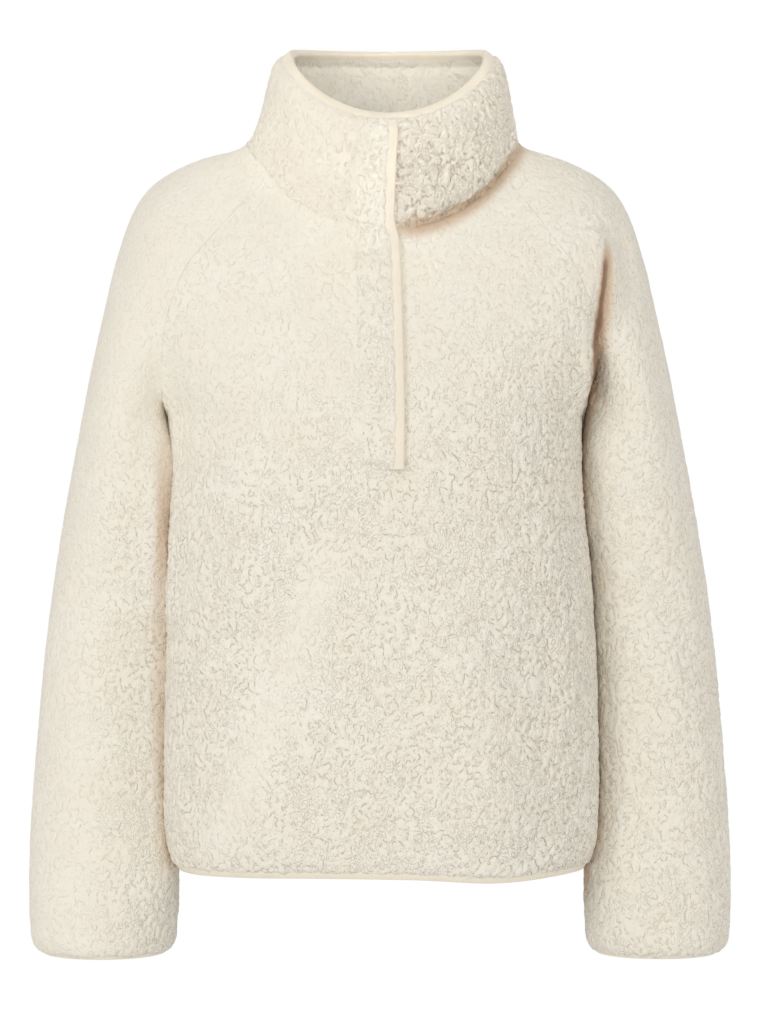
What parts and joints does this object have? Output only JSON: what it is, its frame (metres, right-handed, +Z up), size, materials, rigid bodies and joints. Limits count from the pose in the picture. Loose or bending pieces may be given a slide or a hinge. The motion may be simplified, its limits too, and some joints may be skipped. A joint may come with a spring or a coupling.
{
  "type": "sherpa fleece pullover",
  "caption": "Hollow sherpa fleece pullover with raglan sleeves, a stand collar, a half placket and taped edges, in the filled-out shape of one being worn",
  "frame": {"origin": "the middle of the neck, level with the points where the shoulder lines meet the collar, where a stand or hanger takes the weight", "axes": "+Z up along the body, -Y the front with the placket, +X the wearer's left"},
  "size_m": [0.616, 0.2536, 0.8052],
  "materials": {
    "fleece": "cream sherpa pile in small matted curls, matt",
    "tape": "smooth warm cream knitted tape, faint sheen"
  },
  "bodies": {
    "root": {"front_panel": "fleece", "back_panel": "fleece", "sleeve_left": "fleece", "sleeve_right": "fleece", "collar": "fleece", "collar_facing": "fleece", "placket_strip": "fleece", "placket_tape": "tape", "collar_tape": "tape", "hem_tape": "tape", "cuff_tape_left": "tape", "cuff_tape_right": "tape"}
  },
  "joints": []
}
